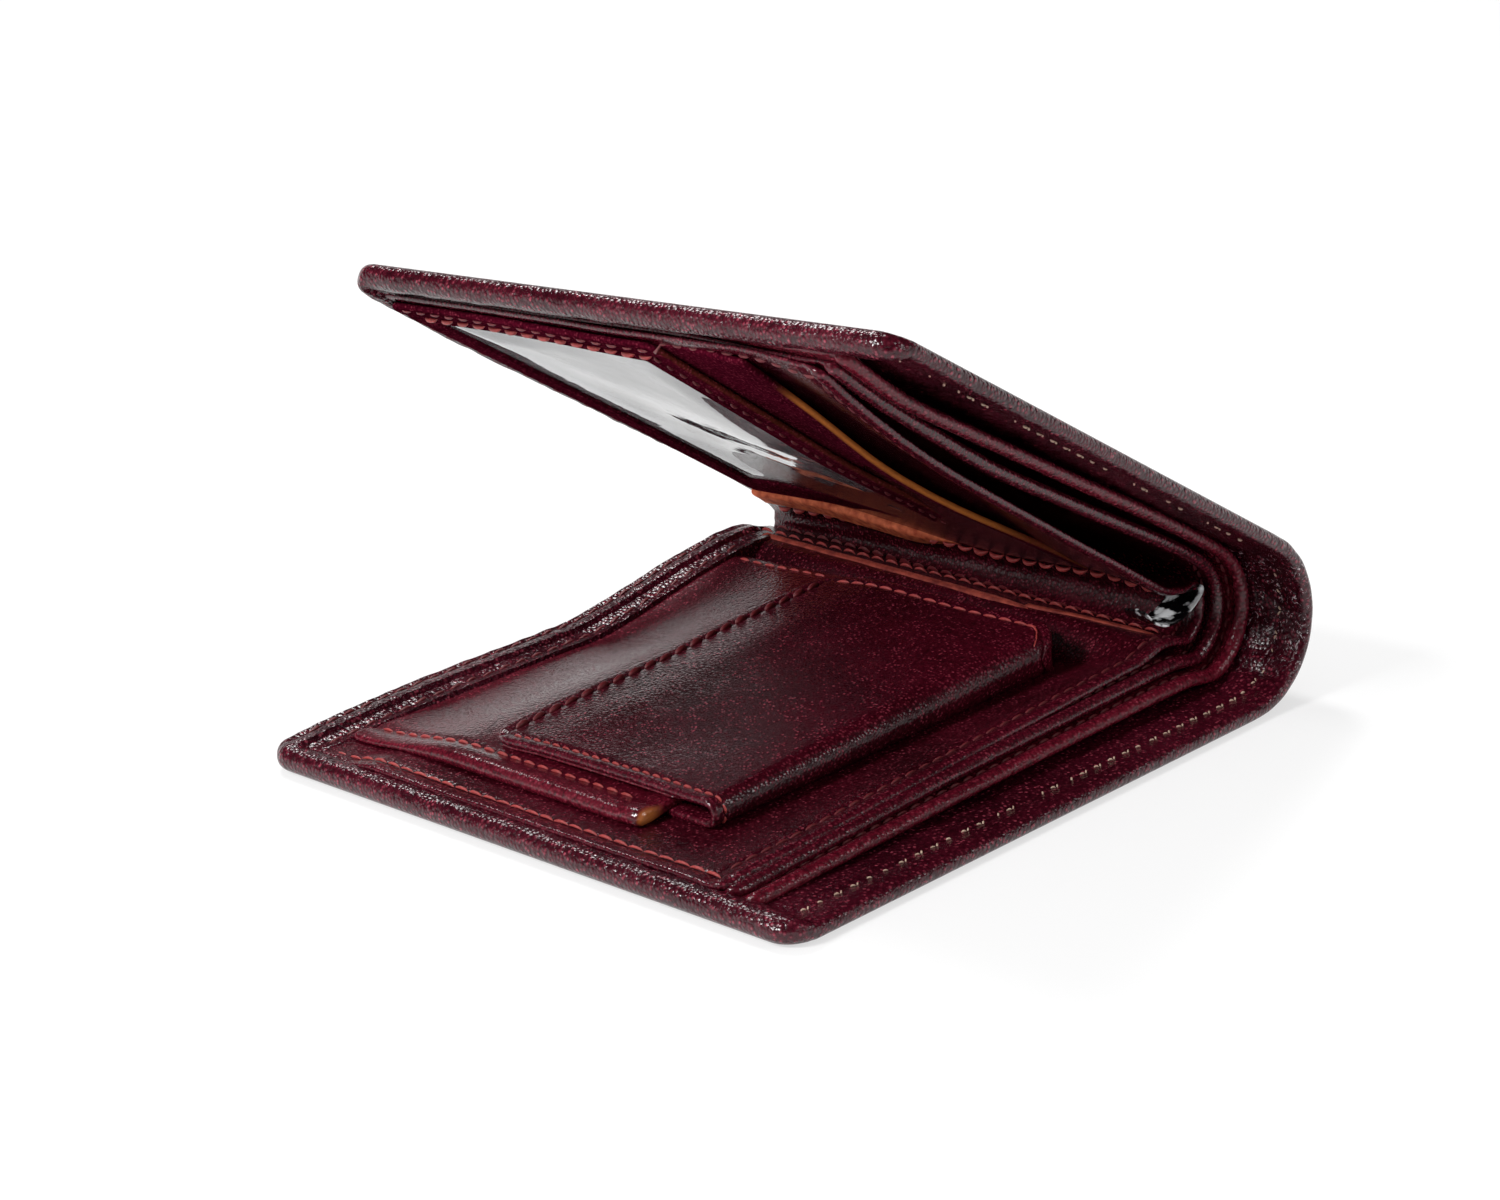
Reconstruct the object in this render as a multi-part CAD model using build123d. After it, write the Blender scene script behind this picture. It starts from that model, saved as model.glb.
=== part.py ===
from build123d import *
import math
import os

# Bifold leather wallet with a flapped coin pocket, standing a little open on its lower cover.
# It is laid out flat, as it is sewn: X across the open wallet from the lower half's outer edge,
# Y from the open bill edge to the sewn bottom edge, Z up from the outer leather. The upper half
# is then folded over on the two lines of the spine, which close in towards the bottom edge.

# Overall sizes
height = 100.0
lower_width = 110.5          # lower outer edge to the middle of the spine, along the leather
upper_width = 105.5          # middle of the spine to the upper outer edge
fold_turn = 148.0            # degrees that the spine turns through; 180 would be shut
bill_end_radius = 13.2       # bend of the outer leather at the open bill edge
bottom_end_radius = 8.4      # bend of the outer leather at the sewn bottom edge
corner_radius = 4.0

# Leather and lining thicknesses
cover_leather = 1.0
cover_lining = 0.6
turned_edge_leather = 0.9
divider_leather = 0.6
panel_leather = 0.6
pocket_leather = 1.0
flap_leather = 1.1
flap_lining = 0.8
window_film = 0.2
fold_film = 0.5

# Stack of the sheets in each half: the bottom of a sheet at the outer edge and at the spine
turned_edge_width = 5.0
cover_edge_round = 0.45
turned_edge_round = 0.55
hem_width = 1.7                # bill edges of the sheets are turned over and stuck down
hem_leather = 0.45             # skived thin for the turn
divider_bottom = (1.9, 2.5)
base_bottom = (2.5, 3.7)
sheet_gap = 0.05
outer_seat = 2.0             # inset of the sewn sheets from the outer edge
divider_inset = 9.0          # bill edge of the divider behind the bill edge of the cover
base_inset = 12.5
slip_inset = 14.5
sewn_inset = 1.0             # sewn sheets end this far short of the bottom edge
spine_gap = 0.3              # running gap between a flat sheet and its bend in the spine

# Coin pocket on the lower half
pocket_outer = 9.5
pocket_spine = lower_width - 24.0
pocket_bottom = height - 4.0
pocket_mouth = 34.5
pocket_rise = (0.25, 2.5)    # room inside it at its outer and at its spine side
gusset_wall = 1.2
mouth_binding_width = 4.0
mouth_binding = 0.5

# Coin flap
flap_outer = 13.5
flap_spine = pocket_spine - 4.5
flap_hinge = 28.0
flap_tip = 70.0
flap_gap = 0.35
flap_corner = 5.0
flap_rim_width = 3.0
flap_rim = 0.4
hinge_facets = 24              # of the half round at the hinge

# Press stud between the flap and the pocket front
stud_across = 49.5
stud_along = 50.5
stud_flange_radius = 4.5
stud_flange = 0.5
stud_post_radius = 1.6
stud_post = 0.9
rivet_radius = 4.0
rivet_head = 0.5
rivet_stem_radius = 1.0
socket_radius = 5.0
socket_bore = 2.0
socket_wall = 0.7
cap_radius = 5.5
cap_thickness = 0.5
stud_clearance = 0.1

# Card panels and window on the upper half, measured from its outer edge and from the bill edge
card_edges = (14.5, 29.0)
card_depth = 48.5
card_outer = 3.0
frame_edge = 44.0
window_outer = 11.5
window_spine = upper_width - 24.5
window_bill = 50.5
window_bottom = height - 7.5
window_corner = 2.0
frame_leather = 0.8
film_lap = 2.0

# Film at the bill end of the inner fold
film_start = 14.6
film_end = 27.5
film_angles = (25.0, 118.0)

turn = math.radians(fold_turn)
tall = 40.0
spine_facets = 24              # of the sheets hidden inside the spine


def bend_radius(y):
    """Bend of the outer leather at height y."""
    return bill_end_radius + (bottom_end_radius - bill_end_radius) * y / height


def bend_start(y):
    """Distance from the middle of the spine at which the leather starts to bend."""
    return bend_radius(y) * turn / 2


def fold_line(y, side):
    """Point of the fold line of one half in the flat layout: side is -1 lower, 1 upper.

    A turn about it by half of fold_turn carries the flat leather to the end of its bend.
    """
    half = turn / 2
    depth = 1 - half / 2 / math.tan(half / 2)
    return Vector(lower_width + side * bend_start(y) / 2, y, depth * bend_radius(y))


def fold_axis(side):
    """Fold line of one half, pointing from the bill edge to the bottom edge."""
    return Axis(fold_line(0, side), fold_line(height, side) - fold_line(0, side))


def folded(shape):
    """Carry a piece of the upper half from the flat layout to its place at rest."""
    return shape.rotate(fold_axis(1), -fold_turn / 2).rotate(fold_axis(-1), -fold_turn / 2)


def outer_edge(side):
    """X of a half's outer edge in the flat layout."""
    return 0.0 if side < 0 else lower_width + upper_width


def plan(side, inset, bill, bottom, gap=spine_gap, corner=corner_radius):
    """Outline of a sheet that runs from near the outer edge to where the spine starts."""
    edge = outer_edge(side) - side * inset
    points = [(edge, bill), (lower_width + side * (bend_start(bill) + gap), bill),
              (lower_width + side * (bend_start(bottom) + gap), bottom), (edge, bottom)]
    outline = make_face(Polyline(*points, close=True))
    corners = [v for v in outline.vertices() if abs(v.X - edge) < 0.01]
    return fillet(corners, corner)


def rectangle(x0, x1, y0, y1, corner=0.0):
    """Outline of a piece between two X and two Y values."""
    outline = Pos((x0 + x1) / 2, (y0 + y1) / 2) * Rectangle(abs(x1 - x0), abs(y1 - y0))
    return fillet(outline.vertices(), corner) if corner else outline


def ramp(x0, z0, x1, z1, x):
    """Height at x of the straight line through two points."""
    return z0 + (z1 - z0) * (x - x0) / (x1 - x0)


def between(outline, low, high, x0, x1):
    """Solid over an outline between two ramps: each is its height at x0 and at x1."""
    points = [(x0, low[0]), (x1, low[1]), (x1, high[1]), (x0, high[0])]
    face = Plane.XZ.offset(-2 * height) * make_face(Polyline(*points, close=True))
    slab = extrude(face, 4 * height)
    solid = extrude(outline, tall) & slab
    return solid.solids()[0] if isinstance(solid, ShapeList) else solid


def sheet(side, outline, bottom, thickness):
    """Sheet of one half that lies on the ramp from the outer edge to the spine."""
    edge = outer_edge(side) - side * outer_seat
    root = lower_width + side * bend_start(0)
    reach = 3 * turned_edge_width
    xs = (edge + side * reach, root - side * reach)
    low = [ramp(edge, bottom[0], root, bottom[1], x) for x in xs]
    return between(outline, low, [z + thickness for z in low], *xs)


def stacked(level, thickness, count=1):
    """Bottom of the next sheet on a stack of equal ones."""
    step = count * (thickness + sheet_gap)
    return (level[0] + step, level[1] + step)


def hemmed(side, outline, bottom, thickness, bill):
    """Sheet with a hem along its bill edge."""
    hem_face = outline & rectangle(0, lower_width + upper_width, bill, bill + hem_width)
    level = (bottom[0] + thickness, bottom[1] + thickness)
    return sheet(side, outline, bottom, thickness) + sheet(side, hem_face, level, hem_leather)


slip_bottom = stacked(base_bottom, panel_leather)
pocket_back_bottom = stacked(slip_bottom, panel_leather)


# Cover -----------------------------------------------------------------------------------

def cover_leather_half(side):
    piece = extrude(plan(side, 0, 0, height), cover_leather)
    rim = [e for e in piece.edges().filter_by_position(Axis.Z, -0.01, 0.01)
           if abs(e.center().X - lower_width) > bend_start(0) + 1]
    return fillet(rim, cover_edge_round)


def cover_lining_half(side):
    inset = turned_edge_width
    outline = plan(side, inset, inset, height - inset, corner=1)
    return Pos(0, 0, cover_leather) * extrude(outline, cover_lining)


def turned_edge_half(side):
    """Cover leather turned in over the lining along its three free edges."""
    inset = turned_edge_width
    outline = plan(side, 0, 0, height) - plan(side, inset, inset, height - inset, -tall, 1)
    strip = Pos(0, 0, cover_leather) * extrude(outline, turned_edge_leather)
    top = strip.edges().filter_by_position(Axis.Z, cover_leather + turned_edge_leather - 0.01, tall)
    edge = outer_edge(side)
    rim = [e for e in top if abs(e.center().X - edge) < corner_radius / 2
           or min(e.center().Y, height - e.center().Y) < 0.1]
    return fillet(rim, turned_edge_round)


# Sheets between the cover and the pockets ------------------------------------------------

def divider_half(side):
    outline = plan(side, outer_seat + 1, divider_inset, height - sewn_inset - 1, corner=2)
    return hemmed(side, outline, divider_bottom, divider_leather, divider_inset)


def base_panel_half(side):
    outline = plan(side, outer_seat, base_inset, height - sewn_inset, corner=2)
    return hemmed(side, outline, base_bottom, panel_leather, base_inset)


def spine_axis():
    """Axis of the cone that the outer leather bends round, from its apex to the bill edge.

    The two lines where the bend starts meet at the apex, so the leather bends without stretching.
    """
    taper = (bend_start(0) - bend_start(height)) / height
    apex = Vector(lower_width, bend_start(0) / taper, 0)
    start = (Vector(lower_width - bend_start(0), 0, 0) - apex).normalized()
    half_angle = math.asin(2 * math.atan(taper) / turn)
    return Axis(apex, start * math.cos(half_angle) + Vector(0, 0, math.sin(half_angle)))


def spine_profile(depth, thickness, bill, bottom, hem=0.0):
    """Section of one sheet along the line where its bend starts, with its hem if it has one."""
    outline = [(bill, 0), (bottom, 0), (bottom, thickness)]
    if hem:
        outline += [(bill + hem_width, thickness), (bill + hem_width, thickness + hem)]
    outline += [(bill, thickness + hem)]
    return [Vector(lower_width - bend_start(y), y, depth + z) for y, z in outline]


def spine_angles(angles=None):
    gap = math.degrees(spine_gap / bend_radius(height / 2))
    return angles or (gap, fold_turn - gap)


def spine_layer(profile, angles=None):
    """Bend of one sheet around the spine, from its section."""
    first, last = spine_angles(angles)
    face = make_face(Polyline(*profile, close=True))
    return revolve(face, spine_axis(), last - first).rotate(spine_axis(), first)


def creased(profile, axis, first, last, facets):
    """A section turned about an axis from one angle to another, in narrow flat facets."""
    centre = axis.position
    turns = [first + (last - first) * i / facets for i in range(facets + 1)]
    rings = [[centre + (p - centre).rotate(axis, a) for p in profile] for a in turns]
    faces = [make_face(Polyline(*ring, close=True)) for ring in (rings[0], rings[-1])]
    for ring, after in zip(rings, rings[1:]):
        for i in range(len(profile)):
            j = (i + 1) % len(profile)
            faces.append(make_face(Polyline(ring[i], ring[j], after[j], after[i], close=True)))
    return Solid(Shell(faces))


def creased_spine_layer(profile):
    """Bend of a sheet that is hidden inside the spine."""
    return creased(profile, spine_axis(), *spine_angles(), spine_facets)


# Coin pocket -----------------------------------------------------------------------------

def on_slip(x):
    """Top of the slip panel at x."""
    edge, root = outer_seat, lower_width - bend_start(0)
    return ramp(edge, slip_bottom[0], root, slip_bottom[1], x) + panel_leather


def pocket_floor(x):
    return on_slip(x) + sheet_gap + panel_leather


def pocket_front_bottom(x):
    return pocket_floor(x) + ramp(pocket_outer, pocket_rise[0], pocket_spine, pocket_rise[1], x)


def flap_bottom(x):
    return pocket_front_bottom(x) + pocket_leather + mouth_binding + flap_gap


def flap_top(x):
    return flap_bottom(x) + flap_lining + flap_leather


def ramp_piece(outline, low, high):
    """Solid over an outline between two height functions that are straight lines in X."""
    xs = (-tall, lower_width + tall)
    return between(outline, [low(x) for x in xs], [high(x) for x in xs], *xs)


def slip_panel():
    outline = plan(-1, outer_seat, slip_inset, height - sewn_inset, 1.0, 2)
    return hemmed(-1, outline, slip_bottom, panel_leather, slip_inset)


def coin_pocket_back():
    outline = rectangle(pocket_outer, pocket_spine, flap_hinge, pocket_bottom, 1)
    return ramp_piece(outline, lambda x: on_slip(x) + sheet_gap, pocket_floor)


def coin_pocket_gusset():
    """Folded side wall, open at the mouth, that lets the front rise."""
    outer = rectangle(pocket_outer, pocket_spine, pocket_mouth, pocket_bottom)
    wall = gusset_wall
    inner = rectangle(pocket_outer + wall, pocket_spine - wall, pocket_mouth - wall,
                      pocket_bottom - wall, 2)
    return ramp_piece(outer - inner, pocket_floor, pocket_front_bottom)


def stud_height():
    return pocket_front_bottom(stud_across) + pocket_leather


def stud_place(z):
    """Place on the pocket front, tilted with it."""
    slope = math.degrees(math.atan(flap_bottom(1) - flap_bottom(0)))
    return Pos(stud_across, stud_along, z) * Rot(0, -slope, 0)


def coin_pocket_front():
    outline = rectangle(pocket_outer, pocket_spine, pocket_mouth, pocket_bottom, 2)
    panel = ramp_piece(outline, pocket_front_bottom, lambda x: pocket_front_bottom(x) + pocket_leather)
    stem = stud_place(stud_height()) * Cylinder(rivet_stem_radius + stud_clearance, tall / 4)
    seat = stud_place(stud_height()) * Cylinder(stud_flange_radius + stud_clearance, 2 * stud_flange)
    return panel - stem - seat


def coin_pocket_binding():
    """Doubled leather along the mouth of the pocket front."""
    outline = rectangle(pocket_outer, pocket_spine, pocket_mouth, pocket_mouth + mouth_binding_width, 1)
    top = lambda x: pocket_front_bottom(x) + pocket_leather
    return ramp_piece(outline, top, lambda x: top(x) + mouth_binding)


def flap_outline(inset=0.0):
    outline = rectangle(flap_outer + inset, flap_spine - inset, flap_hinge, flap_tip - inset)
    tips = outline.vertices().sort_by(Axis.Y)[2:]
    return fillet(tips, flap_corner - inset)


def coin_flap_leather():
    piece = ramp_piece(flap_outline(), lambda x: flap_bottom(x) + flap_lining, flap_top)
    cap = stud_place(flap_bottom(stud_across) + flap_lining) * Cylinder(
        cap_radius + stud_clearance, 2 * (cap_thickness + stud_clearance))
    return piece - cap


def coin_flap_lining():
    piece = ramp_piece(flap_outline(flap_rim_width), flap_bottom,
                       lambda x: flap_bottom(x) + flap_lining)
    hole = stud_place(flap_bottom(stud_across)) * Cylinder(socket_radius + stud_clearance, tall / 4)
    return piece - hole


def coin_flap_rim():
    """Flap leather turned under along its three free edges."""
    outline = flap_outline() - flap_outline(flap_rim_width)
    return ramp_piece(outline, lambda x: flap_bottom(x) + flap_rim, lambda x: flap_bottom(x) + flap_lining)


def hinge_centre(x):
    """Middle of the flap's hinge roll at x."""
    return Vector(x, flap_hinge, (on_slip(x) + sheet_gap + flap_top(x)) / 2)


def flap_hinge_roll():
    """Bend of the flap leather from the pocket back up to the flap: a half round that widens."""
    line = [Vector(x, flap_hinge, on_slip(x) + sheet_gap) for x in (flap_outer, flap_spine)]
    rise = Vector(0, 0, flap_leather)
    start, end = hinge_centre(flap_spine), hinge_centre(flap_outer)
    return creased([*line, line[1] + rise, line[0] + rise], Axis(start, end - start), 0, 180,
                   hinge_facets)


# Press stud ------------------------------------------------------------------------------

def snap_stud():
    flange = Pos(0, 0, -stud_flange / 2) * Cylinder(stud_flange_radius, stud_flange)
    post = Pos(0, 0, stud_post / 2) * Cylinder(stud_post_radius, stud_post)
    body = chamfer((flange + post).edges().sort_by(Axis.Z)[-1], 0.3)
    hole = Cylinder(rivet_stem_radius, 2 * stud_post)
    return stud_place(stud_height()) * (body - Pos(0, 0, -stud_post) * hole)


def snap_rivet():
    depth = pocket_leather
    head = Pos(0, 0, -depth - rivet_head / 2) * Cylinder(rivet_radius, rivet_head)
    stem = Pos(0, 0, -depth / 2) * Cylinder(rivet_stem_radius, depth)
    return stud_place(stud_height()) * (head + stem)


def snap_socket():
    """Ring in the flap lining whose bore takes the post, with a rolled lip."""
    base = flap_lining - socket_wall
    ring = Pos(0, 0, base + socket_wall / 2) * Cylinder(socket_radius, socket_wall)
    ring = chamfer(ring.edges().group_by(Axis.Z)[0], 0.25)
    return stud_place(flap_bottom(stud_across)) * (ring - Cylinder(socket_bore, 4 * flap_lining))


def snap_cap():
    disc = Pos(0, 0, flap_lining + cap_thickness / 2) * Cylinder(cap_radius, cap_thickness)
    disc = chamfer(disc.edges().group_by(Axis.Z)[-1], 0.2)
    return stud_place(flap_bottom(stud_across)) * disc


# Card side of the upper half ---------------------------------------------------------------

def card_panel_face(index):
    """Card slot panel: its bill edge is free, the rest is sewn."""
    return plan(1, card_outer, card_edges[index], card_edges[index] + card_depth, 1.0, 2)


def card_panel_top():
    return hemmed(1, card_panel_face(0), slip_bottom, panel_leather, card_edges[0])


def card_panel_middle():
    """Its bill edge is left raw."""
    return sheet(1, card_panel_face(1), stacked(slip_bottom, panel_leather), panel_leather)


def window_face(lap):
    edge = lower_width + upper_width
    return rectangle(edge - window_spine - lap, edge - window_outer + lap, window_bill - lap,
                     window_bottom + lap, window_corner)


def id_window_film():
    return sheet(1, window_face(film_lap), stacked(slip_bottom, panel_leather, 2), window_film)


def id_window_frame():
    outline = plan(1, card_outer, frame_edge, height - sewn_inset, 1.0, 2) - window_face(0)
    level = stacked(stacked(slip_bottom, panel_leather, 2), window_film)
    return sheet(1, outline, level, frame_leather)


# Assembly ----------------------------------------------------------------------------------

lower_nodes = {
    "lower_cover_leather": cover_leather_half(-1),
    "lower_cover_lining": cover_lining_half(-1),
    "lower_turned_edge": turned_edge_half(-1),
    "lower_bill_divider": divider_half(-1),
    "lower_base_panel": base_panel_half(-1),
    "lower_slip_panel": slip_panel(),
    "coin_pocket_back": coin_pocket_back(),
    "coin_pocket_gusset": coin_pocket_gusset(),
    "coin_pocket_front": coin_pocket_front(),
    "coin_pocket_binding": coin_pocket_binding(),
    "coin_flap_hinge_roll": flap_hinge_roll(),
    "snap_stud": snap_stud(),
    "snap_rivet": snap_rivet(),
}
flap_nodes = {
    "coin_flap_leather": coin_flap_leather(),
    "coin_flap_lining": coin_flap_lining(),
    "coin_flap_rim": coin_flap_rim(),
    "snap_socket": snap_socket(),
    "snap_cap": snap_cap(),
}
lining_depth = cover_leather + sheet_gap
divider_depth = divider_bottom[1]
base_depth = base_bottom[1]
film_depth = base_depth + panel_leather + sheet_gap
spine_nodes = {
    "spine_cover_leather": spine_layer(spine_profile(0, cover_leather, 0, height)),
    "spine_cover_lining": creased_spine_layer(spine_profile(
        lining_depth, cover_lining, turned_edge_width, height - turned_edge_width)),
    "spine_bill_divider": creased_spine_layer(spine_profile(
        divider_depth, divider_leather, divider_inset, height - sewn_inset - 1, hem_leather)),
    "spine_inner_panel": spine_layer(spine_profile(
        base_depth, panel_leather, base_inset, height - sewn_inset, hem_leather)),
    "spine_fold_film": spine_layer(spine_profile(film_depth, fold_film, film_start, film_end),
                                   film_angles),
}
upper_nodes = {
    "upper_cover_leather": cover_leather_half(1),
    "upper_cover_lining": cover_lining_half(1),
    "upper_turned_edge": turned_edge_half(1),
    "upper_bill_divider": divider_half(1),
    "upper_base_panel": base_panel_half(1),
    "card_panel_top": card_panel_top(),
    "card_panel_middle": card_panel_middle(),
    "id_window_film": id_window_film(),
    "id_window_frame": id_window_frame(),
}
upper_nodes = {name: folded(shape) for name, shape in upper_nodes.items()}
nodes = lower_nodes | flap_nodes | spine_nodes | upper_nodes

# The origin is under the middle of the whole wallet
box = Compound(children=[Compound(shape.solids()) for shape in nodes.values()]).bounding_box()
origin = Vector(box.center().X, box.center().Y, box.min.Z)
nodes = {name: Pos(*(-origin)) * shape for name, shape in nodes.items()}

os.makedirs("parts", exist_ok=True)
for name, shape in nodes.items():
    export_step(shape, f"parts/{name}.step")


def show_axis(name, start, end):
    """Print a joint axis in the finished frame, in metres."""
    direction = (end - start).normalized()
    place = [round(v / 1000, 6) for v in start - origin]
    print(name, "pos_m", place, "axis", [round(v, 6) for v in direction])


upper_fold = Line(fold_line(0, 1), fold_line(height, 1)).rotate(fold_axis(-1), -fold_turn / 2)
hinge_line = [hinge_centre(x) for x in (flap_outer, flap_spine)]
show_axis("lower_fold", fold_line(0, -1), fold_line(height, -1))
show_axis("upper_fold", upper_fold @ 0, upper_fold @ 1)
show_axis("flap_hinge", *hinge_line)
print("box", box.size, "nodes", len(nodes))
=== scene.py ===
import math
import random
import bpy
from mathutils import Matrix, Vector, noise


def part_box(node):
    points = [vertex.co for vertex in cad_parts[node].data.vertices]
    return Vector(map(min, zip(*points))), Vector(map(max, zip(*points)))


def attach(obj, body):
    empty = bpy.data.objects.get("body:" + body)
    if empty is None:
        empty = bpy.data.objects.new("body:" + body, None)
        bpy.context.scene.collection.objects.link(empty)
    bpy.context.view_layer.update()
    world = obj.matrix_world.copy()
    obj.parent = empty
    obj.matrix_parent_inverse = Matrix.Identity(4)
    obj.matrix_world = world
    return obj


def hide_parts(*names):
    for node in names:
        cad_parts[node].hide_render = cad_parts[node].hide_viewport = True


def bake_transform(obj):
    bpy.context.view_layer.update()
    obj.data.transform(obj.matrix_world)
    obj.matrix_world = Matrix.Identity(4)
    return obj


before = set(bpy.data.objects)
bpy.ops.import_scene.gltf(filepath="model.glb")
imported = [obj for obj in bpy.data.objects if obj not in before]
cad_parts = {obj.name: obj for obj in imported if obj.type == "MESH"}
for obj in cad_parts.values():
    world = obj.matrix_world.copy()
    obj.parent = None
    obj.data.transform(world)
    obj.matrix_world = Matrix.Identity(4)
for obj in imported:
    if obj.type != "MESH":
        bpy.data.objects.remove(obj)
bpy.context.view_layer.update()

# Bifold leather wallet with a flapped coin pocket. Every piece is modelled flat, as it is cut
# and sewn, in millimetres: x across the open wallet from the lower outer edge, y from the open
# bill edge to the sewn bottom edge, z up from the outer leather. folded() then carries it to
# its place around the cone of the spine.

MM = 0.001
HEIGHT = 100.0
LOWER, UPPER = 110.5, 105.5     # each half, from its outer edge to the middle of the spine
WIDTH = LOWER + UPPER
TURN = math.radians(148.0)      # how far the spine turns between the two halves at rest
BILL_RADIUS, BOTTOM_RADIUS = 13.2, 8.4      # outside of the spine at its two ends
CORNER = 4.2
flat_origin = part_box("lower_cover_leather")[0]
random.seed(7)

# Cut sheets, as x from and to, y from and to.
COVER = (-0.9, WIDTH + 0.3, -0.4, HEIGHT)
DIVIDER = (3.0, WIDTH - 3.0, 9.0, 97.5)
BASE = (2.6, WIDTH - 4.8, 12.0, 98.0)
INNER = (1.9, WIDTH - 4.4, 13.6, 98.6)
POCKET = (8.0, 86.5, 34.5, 92.0)
FLAP = (13.5, 82.0, 11.0, 70.0)             # its first 17 mm turn round the hinge
FLAP_LINING = (13.9, 81.6, 30.5, 69.6)
MIDDLE_CARD = (LOWER + 19.0, WIDTH - 6.4, 29.0, 77.5)
FRAME = (LOWER + 18.0, WIDTH - 5.4, 44.0, 97.0)
WINDOW = (WIDTH - 81.0, WIDTH - 11.5, 50.5, 92.5)
HINGE = 28.0
FLAP_CORNER = 5.0
HEM_WIDTH = 2.2
INNER_GAUGE = 0.7

# Seams: each is a groove in its sheet and a row of stitches in that groove.
BILL_SEAM, DIVIDER_SEAM, BASE_SEAM, INNER_SEAM = 4.6, 12.3, 15.3, 17.0
OUTER_SEAM = 4.2
RIM_SEAM, LOWER_BORDER_SEAM, UPPER_BORDER_SEAM = 2.0, 6.5, 4.9      # in from the sewn edge
POCKET_SEAM = 12.6
FLAP_OUTER_SEAM, FLAP_SPINE_SEAM, FLAP_TIP_SEAM = 15.4, 79.8, 67.6
FRAME_OUTER_SEAM, FRAME_BILL_SEAM = 9.4, 47.2


# Shape of the wallet -------------------------------------------------------------------------

def bend_radius(y):
    return BILL_RADIUS + (BOTTOM_RADIUS - BILL_RADIUS) * y / HEIGHT


def bend_start(y):
    """Distance from the middle of the spine to where a half goes flat."""
    return bend_radius(y) * TURN / 2


TAPER = (bend_start(0) - bend_start(HEIGHT)) / HEIGHT
APEX = Vector((LOWER, bend_start(0) / TAPER, 0))
SECTOR = 2 * math.atan(TAPER)
EDGE_LINE = (Vector((LOWER - bend_start(0), 0, 0)) - APEX).normalized()
LEAN = math.asin(SECTOR / TURN)
CONE_AXIS = EDGE_LINE * math.cos(LEAN) + Vector((0, 0, math.sin(LEAN)))


def smooth(a, b, v):
    """0 up to a, 1 from b on, eased between them. a may be the larger."""
    t = min(max((v - a) / (b - a), 0.0), 1.0)
    return t * t * (3 - 2 * t)


def mix(a, b, t):
    return a + (b - a) * t


def dip(v, place, width):
    """1 at a groove's middle, fading out over its width."""
    return math.exp(-((v - place) / width) ** 2)


def line(points, v):
    """Height at v along (place, height) pairs."""
    for (a, ha), (b, hb) in zip(points, points[1:]):
        if v <= b:
            return mix(ha, hb, min(max((v - a) / (b - a), 0.0), 1.0))
    return points[-1][1]


def curve(points, v, ease=5.0):
    """Height at v along (place, height) pairs, with the corners eased."""
    return (line(points, v - ease) + 2 * line(points, v) + line(points, v + ease)) / 4


def ripple(x, y, size, height, seed=0.0):
    """Uneven leather: swellings `size` mm across and up to about `height` mm high."""
    return height * noise.noise(Vector((x / size, y / size, seed)))


def folded(p):
    """A point of the flat wallet, carried to its place at rest, in metres. The upper half is
    twisted a little: inwards at its outer bill corner, outwards at its outer sewn corner."""
    twist = max(p.x - LOWER, 0.0) / UPPER * mix(1.2, -0.8, p.y / HEIGHT)
    p = Vector((p.x, p.y, p.z + twist))
    flat = Vector((p.x, p.y, 0)) - APEX
    swing = math.atan2(EDGE_LINE.cross(flat).z, EDGE_LINE.dot(flat))
    swing = min(max(swing, 0.0), SECTOR)
    spot = Matrix.Rotation(-swing, 3, "Z") @ flat + Vector((0, 0, p.z))
    spot = Matrix.Rotation(TURN * swing / SECTOR, 3, CONE_AXIS) @ spot
    return flat_origin + (APEX + spot) * MM


# Making a sheet ------------------------------------------------------------------------------

# Grid lines near an edge, in mm from it: plain, hemmed and beaded edges.
SOFT = (0.0, 0.1, 0.3, 0.6, 1.0)
HEM = (0.0, 0.08, 0.22, 0.45, 0.75, 1.1, 1.45, 1.75, 2.0, 2.2, 2.5, 2.9, 3.3, 3.7, 4.2)
BEAD = (0.0, 0.06, 0.2, 0.45, 0.8, 1.2, 1.7, 2.2, 2.7, 3.2, 3.7, 4.2, 4.8, 5.4)


def deselect():
    if bpy.context.object and bpy.context.object.mode != "OBJECT":
        bpy.ops.object.mode_set(mode="OBJECT")
    bpy.ops.object.select_all(action="DESELECT")


def choose(piece):
    deselect()
    piece.select_set(True)
    bpy.context.view_layer.objects.active = piece


def lines(a, b, step, first, last):
    """Grid lines from a to b, closer together at the ends."""
    head, tail = [a + f for f in first], [b - f for f in reversed(last)]
    span = tail[0] - head[-1]
    count = max(1, round(span / step))
    return head + [head[-1] + span * i / count for i in range(1, count)] + tail


def depth_in(x, y, rect, radius):
    """How far a point is inside a rounded rectangle."""
    x0, x1, y0, y1 = rect
    qx = abs(x - (x0 + x1) / 2) - ((x1 - x0) / 2 - radius)
    qy = abs(y - (y0 + y1) / 2) - ((y1 - y0) / 2 - radius)
    return radius - math.hypot(max(qx, 0), max(qy, 0)) - min(max(qx, qy), 0)


def round_corner(v, rect, radius):
    """Moves a grid point of a square corner on to a round one."""
    x0, x1, y0, y1 = rect
    cx, cy = (x0 + x1) / 2, (y0 + y1) / 2
    qx = abs(v.x - cx) - ((x1 - x0) / 2 - radius)
    qy = abs(v.y - cy) - ((y1 - y0) / 2 - radius)
    if qx > 0 and qy > 0:
        pull = max(qx, qy) / math.hypot(qx, qy) - 1
        v.x += qx * pull * math.copysign(1, v.x - cx)
        v.y += qy * pull * math.copysign(1, v.y - cy)


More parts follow.
